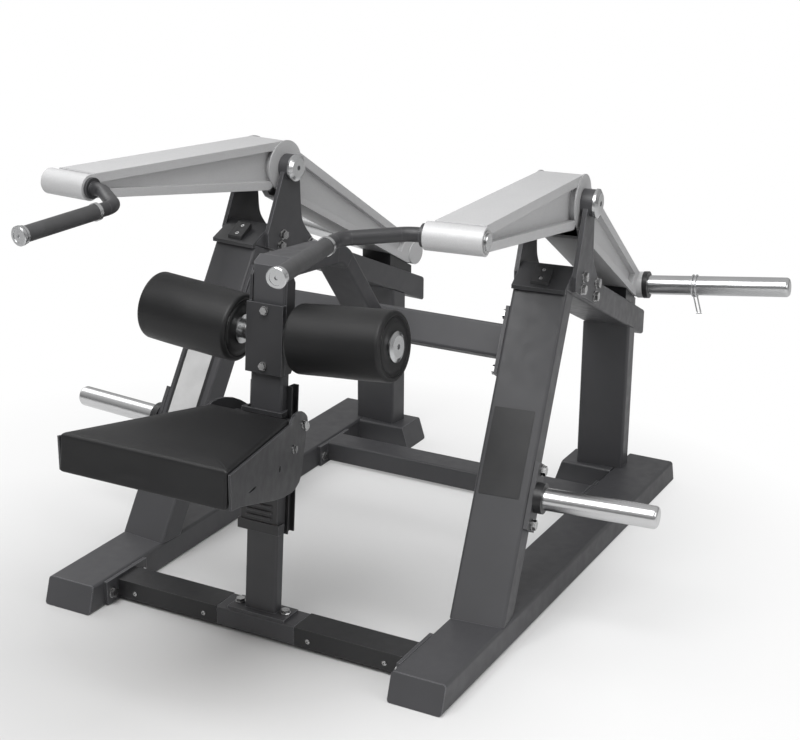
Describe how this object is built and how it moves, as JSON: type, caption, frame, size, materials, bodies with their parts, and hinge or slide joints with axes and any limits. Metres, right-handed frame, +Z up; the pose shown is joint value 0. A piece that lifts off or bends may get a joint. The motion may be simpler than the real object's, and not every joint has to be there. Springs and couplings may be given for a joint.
{
  "type": "triceps extension machine",
  "caption": "Plate-loaded seated triceps press with hinged lever arms, swivel grips, a sliding seat, padded thigh rollers, weight sleeves and storage horns on a tube frame.",
  "frame": {"origin": "on the floor, under the centre of the whole machine's box", "axes": "+X to the side on which the picture shows the clip, +Y from the seat to the weight sleeves, +Z up"},
  "size_m": [1.4828, 1.6534, 0.946],
  "materials": {
    "frame_paint": "fine-textured satin powder coat",
    "arm_paint": "satin metallic paint",
    "chrome": "polished",
    "steel": "zinc plated",
    "black_rubber": "matt",
    "black_plastic": "matt",
    "vinyl": "fine-grained vinyl over foam",
    "board": "plain"
  },
  "bodies": {
    "frame": {"left_skid": "frame_paint", "right_skid": "frame_paint", "skid_end_caps": "black_plastic", "rear_feet": "frame_paint", "left_front_upright": "frame_paint", "right_front_upright": "frame_paint", "left_top_beam": "frame_paint", "right_top_beam": "frame_paint", "left_rear_upright": "frame_paint", "right_rear_upright": "frame_paint", "bump_hoods": "frame_paint", "bump_pads": "black_rubber", "left_pivot_plates": "frame_paint", "right_pivot_plates": "frame_paint", "pivot_plate_bolts": "steel", "pivot_shafts": "steel", "pivot_end_caps": "chrome", "front_cross_member": "frame_paint", "floor_covers": "frame_paint", "rear_cross_member": "frame_paint", "upper_cross_beam": "frame_paint", "frame_bolts": "steel", "panel_screws": "steel", "seat_mast": "frame_paint", "mast_arch": "frame_paint", "guide_rails": "black_plastic", "roller_bracket": "frame_paint", "roller_axle": "steel", "roller_end_discs": "chrome", "arm_stop_blocks": "black_rubber", "left_storage_horn": "chrome", "right_storage_horn": "chrome", "storage_collars": "black_rubber"},
    "left_roller": {"left_thigh_roller": "vinyl"},
    "right_roller": {"right_thigh_roller": "vinyl"},
    "seat_slider": {"seat_guide_rollers": "steel"},
    "seat": {"seat_carriage": "frame_paint", "seat_side_plates": "frame_paint", "seat_board": "board", "seat_pad": "vinyl", "brake_block": "black_plastic", "seat_bolts": "steel"},
    "left_arm": {"left_press_arm": "arm_paint", "left_weight_arm": "arm_paint", "left_arm_bearings": "steel", "left_weight_sleeve": "chrome", "left_sleeve_collar": "black_rubber"},
    "right_arm": {"right_press_arm": "arm_paint", "right_weight_arm": "arm_paint", "right_arm_bearings": "steel", "right_weight_sleeve": "chrome", "right_sleeve_collar": "black_rubber"},
    "left_clip": {"left_spring_clip": "chrome"},
    "right_clip": {"right_spring_clip": "chrome"},
    "left_hand_lever": {"left_handle": "frame_paint", "left_grip": "black_rubber", "left_handle_rings": "chrome"},
    "right_hand_lever": {"right_handle": "frame_paint", "right_grip": "black_rubber", "right_handle_rings": "chrome"}
  },
  "joints": [
    {"name": "left_arm_pivot", "type": "hinge", "parent": "frame", "child": "left_arm", "pos_m": [-0.37549, 0.20533, 0.851], "axis": [0.9945, -0.1045, 0], "range_deg": [0, 41]},
    {"name": "left_handle_swivel", "type": "hinge", "parent": "left_arm", "child": "left_hand_lever", "pos_m": [-0.44322, -0.43912, 0.919], "axis": [-0.9945, 0.1045, 0], "range_deg": [0, 35]},
    {"name": "left_clip_slide", "type": "slide", "parent": "left_arm", "child": "left_clip", "axis": [-0.9898, 0.104, 0.0976], "range_m": [-0.105, 0.2]},
    {"name": "left_roller_spin", "type": "hinge", "parent": "frame", "child": "left_roller", "pos_m": [0, -0.37753, 0.64506], "axis": [-0.9966, 0.007, 0.0816], "continuous": true},
    {"name": "right_arm_pivot", "type": "hinge", "parent": "frame", "child": "right_arm", "pos_m": [0.37549, 0.20533, 0.851], "axis": [0.9945, 0.1045, 0], "range_deg": [0, 41]},
    {"name": "right_handle_swivel", "type": "hinge", "parent": "right_arm", "child": "right_hand_lever", "pos_m": [0.44322, -0.43912, 0.919], "axis": [-0.9945, -0.1045, 0], "range_deg": [0, 35]},
    {"name": "right_clip_slide", "type": "slide", "parent": "right_arm", "child": "right_clip", "axis": [0.9898, 0.104, 0.0976], "range_m": [-0.105, 0.2]},
    {"name": "right_roller_spin", "type": "hinge", "parent": "frame", "child": "right_roller", "pos_m": [0, -0.37753, 0.64506], "axis": [0.9966, 0.007, 0.0816], "continuous": true},
    {"name": "seat_height", "type": "slide", "parent": "frame", "child": "seat_slider", "axis": [0, 0.0854, 0.9963], "range_m": [-0.165, 0.06]},
    {"name": "seat_unlock_tilt", "type": "hinge", "parent": "seat_slider", "child": "seat", "pos_m": [0, -0.37404, 0.46339], "axis": [-1, 0, 0], "range_deg": [0, 3]}
  ]
}
